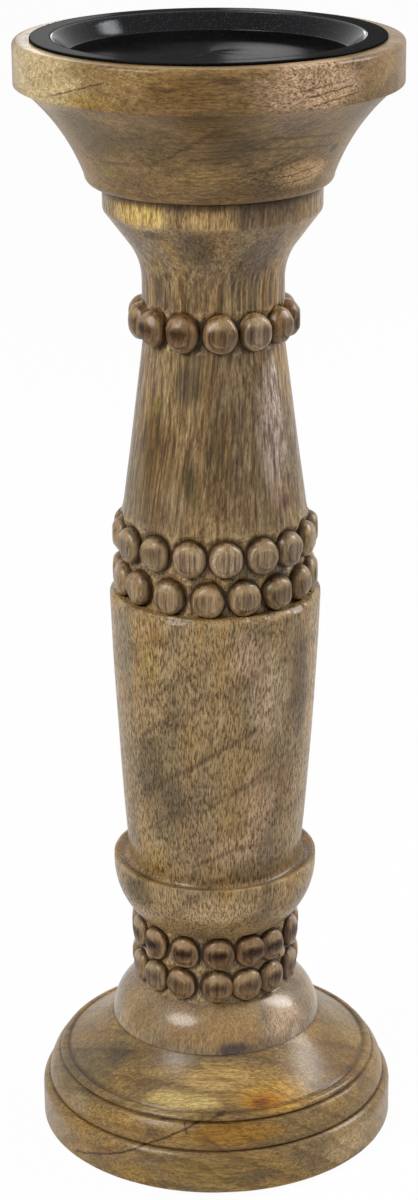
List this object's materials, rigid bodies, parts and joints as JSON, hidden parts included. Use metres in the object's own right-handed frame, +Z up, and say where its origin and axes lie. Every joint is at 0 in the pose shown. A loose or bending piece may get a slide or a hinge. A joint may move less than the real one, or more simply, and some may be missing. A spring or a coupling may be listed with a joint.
{
  "type": "candle stand",
  "caption": "Turned wooden pillar candle stand with carved bead rings on its stem, a moulded round base and a flared cup that holds a lift-out black steel pan.",
  "frame": {"origin": "centre of the underside, on the surface the stand rests on", "axes": "+Z up along the turning axis; the front of the picture faces -Y, its right is +X"},
  "size_m": [0.12, 0.12, 0.3703],
  "materials": {
    "wood": "waxed, satin",
    "pan_coating": "black powder coat, satin",
    "fastener_steel": "zinc plated",
    "felt": "pressed felt"
  },
  "bodies": {
    "stand": {"felt_disc": "felt", "base": "wood", "stem": "wood", "cup": "wood", "cup_screw": "fastener_steel", "cup_washer": "fastener_steel", "base_screw": "fastener_steel", "base_washer": "fastener_steel"},
    "pan": {"candle_pan": "pan_coating"}
  },
  "joints": [
    {"name": "pan_lift", "type": "slide", "parent": "stand", "child": "pan", "axis": [0, 0, 1], "range_m": [0, 0.05]}
  ]
}
